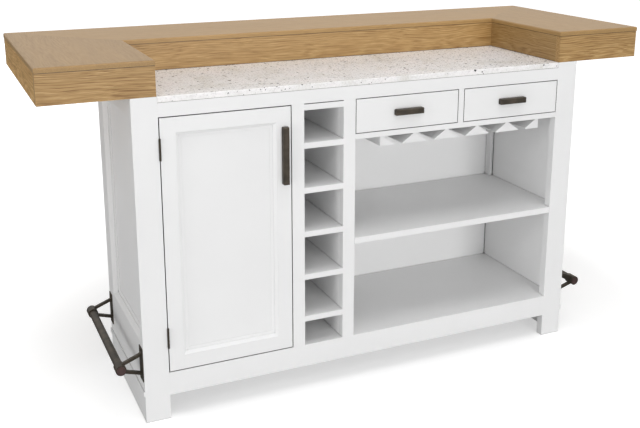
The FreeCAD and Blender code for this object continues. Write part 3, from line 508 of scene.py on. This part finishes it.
def make_bracket_screws():
    """Two domed screws on each wall plate of the foot rails."""
    low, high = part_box("bracket_screws")
    radius = 4 * MM
    height = 2 * MM
    points, facings = [], []
    for side in (-1, 1):
        for y in (low.y + radius, high.y - radius):
            for z in (low.z + radius, high.z - radius):
                points.append((side * (high.x - height), y, z))
                facings.append((side, 0.0, 0.0))
    mesh = bpy.data.meshes.new("screw_points")
    mesh.from_pydata(points, [], [])
    facing = mesh.attributes.new("facing", "FLOAT_VECTOR", "POINT")
    facing.data.foreach_set("vector", [number for direction in facings for number in direction])
    maker = bpy.data.objects.new("screw_maker", mesh)
    bpy.context.scene.collection.objects.link(maker)
    tree = screw_tree()
    modifier = maker.modifiers.new("screws", "NODES")
    modifier.node_group = tree
    sizes = {"Head radius": radius, "Head height": height, "Slot width": 1.2 * MM}
    for item in tree.interface.items_tree:
        if item.name in sizes:
            modifier[item.identifier] = sizes[item.name]
    bpy.context.view_layer.update()
    ready = maker.evaluated_get(bpy.context.evaluated_depsgraph_get())
    finished = bpy.data.meshes.new_from_object(ready)
    bpy.data.objects.remove(maker)
    shape = bmesh.new()
    shape.from_mesh(finished)
    bmesh.ops.remove_doubles(shape, verts=shape.verts, dist=0.001 * MM)
    piece_from(shape, "domed_bracket_screws", BRONZE, "cabinet", "dark_bronze", "bracket_screws")


def make_floor():
    """A white floor that keeps the bar's shadow and glows for the eye further out."""
    floor = bpy.data.meshes.new("studio_floor")
    reach = 30.0
    corners = [(-reach, -reach, 0), (reach, -reach, 0), (reach, reach, 0), (-reach, reach, 0)]
    floor.from_pydata(corners, [], [(0, 1, 2, 3)])
    material, tree, place = finish_named("studio_floor")
    seen = add(tree, "ShaderNodeLightPath")
    tone = add(tree, "ShaderNodeMapRange", {"Value": seen.outputs["Is Glossy Ray"], "To Min": 0.8,
                                            "To Max": 0.25})
    matt = add(tree, "ShaderNodeBsdfDiffuse", {"Color": tone.outputs["Result"]})
    # the glow grows away from the shadow, whose middle lies to the right of the bar's and behind it
    shadow_middle = (0.25, 0.15, 0)
    shadow_reach, glow_reach = 1.0, 1.7
    away = add(tree, "ShaderNodeVectorMath", {0: place, 1: shadow_middle}, operation="DISTANCE")
    rise = add(tree, "ShaderNodeMapRange", {"Value": away.outputs["Value"], "From Min": shadow_reach,
                                            "From Max": glow_reach, "To Min": 0.44, "To Max": 0.85})
    strength = add(tree, "ShaderNodeMath", {0: seen.outputs["Is Camera Ray"], 1: rise.outputs["Result"]},
                   operation="MULTIPLY")
    glow = add(tree, "ShaderNodeEmission", {"Color": (1, 1, 1, 1), "Strength": strength.outputs[0]})
    both = add(tree, "ShaderNodeAddShader", {0: matt.outputs[0], 1: glow.outputs[0]})
    add(tree, "ShaderNodeOutputMaterial", {"Surface": both.outputs[0]})
    floor.materials.append(material)
    ground = bpy.data.objects.new("studio_floor", floor)
    bpy.context.scene.collection.objects.link(ground)


def make_surround():
    """A white surround, bright to the eye and in reflections and weaker as a light."""
    world = bpy.data.worlds.new("studio")
    bpy.context.scene.world = world
    world.use_nodes = True
    tree = world.node_tree
    tree.nodes.clear()
    seen = add(tree, "ShaderNodeLightPath")
    any_seen = add(tree, "ShaderNodeMath", {0: seen.outputs["Is Camera Ray"],
                                            1: seen.outputs["Is Glossy Ray"]},
                   operation="MAXIMUM")
    strength = add(tree, "ShaderNodeMapRange", {"Value": any_seen.outputs[0], "To Min": 0.33,
                                                "To Max": 1.0})
    sky = add(tree, "ShaderNodeBackground", {"Color": (1, 1, 1, 1), "Strength": strength.outputs["Result"]})
    add(tree, "ShaderNodeOutputWorld", {"Surface": sky.outputs[0]})


def make_lights():
    """Soft round lights on all sides of the bar and above it."""
    for name, place, aim, size, power in (
            ("front_softbox", (0.8, -8.7, 1.6), (0.2, -0.3, 0.55), 4.0, 242.0),
            ("upper_left_softbox", (-3.6, -4.6, 4.4), (0.0, -0.3, 0.5), 2.0, 37.0),
            ("left_softbox", (-6.0, -2.2, 0.9), (-0.8, 0.0, 0.5), 3.0, 88.0),
            ("right_softbox", (6.0, -1.2, 1.1), (0.8, 0.0, 0.5), 3.0, 50.0),
            ("rear_softbox", (0.5, 7.5, 1.3), (0.0, 0.3, 0.5), 4.0, 110.0),
            ("top_softbox", (0.3, -0.9, 4.6), (0.0, 0.0, 0.9), 3.0, 66.0)):
        lamp = bpy.data.lights.new(name, "AREA")
        lamp.shape = "DISK"
        lamp.size = size
        lamp.energy = power
        light = bpy.data.objects.new(name, lamp)
        # the light behind the bar leaves no shine on its top
        light.visible_glossy = name != "rear_softbox"
        light.location = place
        light.rotation_euler = (Vector(aim) - Vector(place)).to_track_quat("-Z", "Y").to_euler()
        bpy.context.scene.collection.objects.link(light)


def make_camera():
    """The camera that a fit to the bar's edges in the photograph gave, with no film curve."""
    yaw, pitch = 0.418, 0.255
    data = bpy.data.cameras.new("photo_camera")
    data.sensor_width = 36.0
    data.lens = 52.43
    data.shift_y = -0.1135
    data.clip_end = 100.0
    camera = bpy.data.objects.new("photo_camera", data)
    camera.location = (-1.2899, FRONT - 2.479, 1.5183)
    camera.rotation_euler = (math.pi / 2 - pitch, 0.0, -yaw)
    bpy.context.scene.collection.objects.link(camera)
    bpy.context.scene.camera = camera
    bpy.context.scene.view_settings.view_transform = "Standard"


finish_nodes()
make_door_moulding()
make_side_mouldings()
make_back_mouldings()
make_bracket_screws()
make_floor()
make_surround()
make_lights()
make_camera()
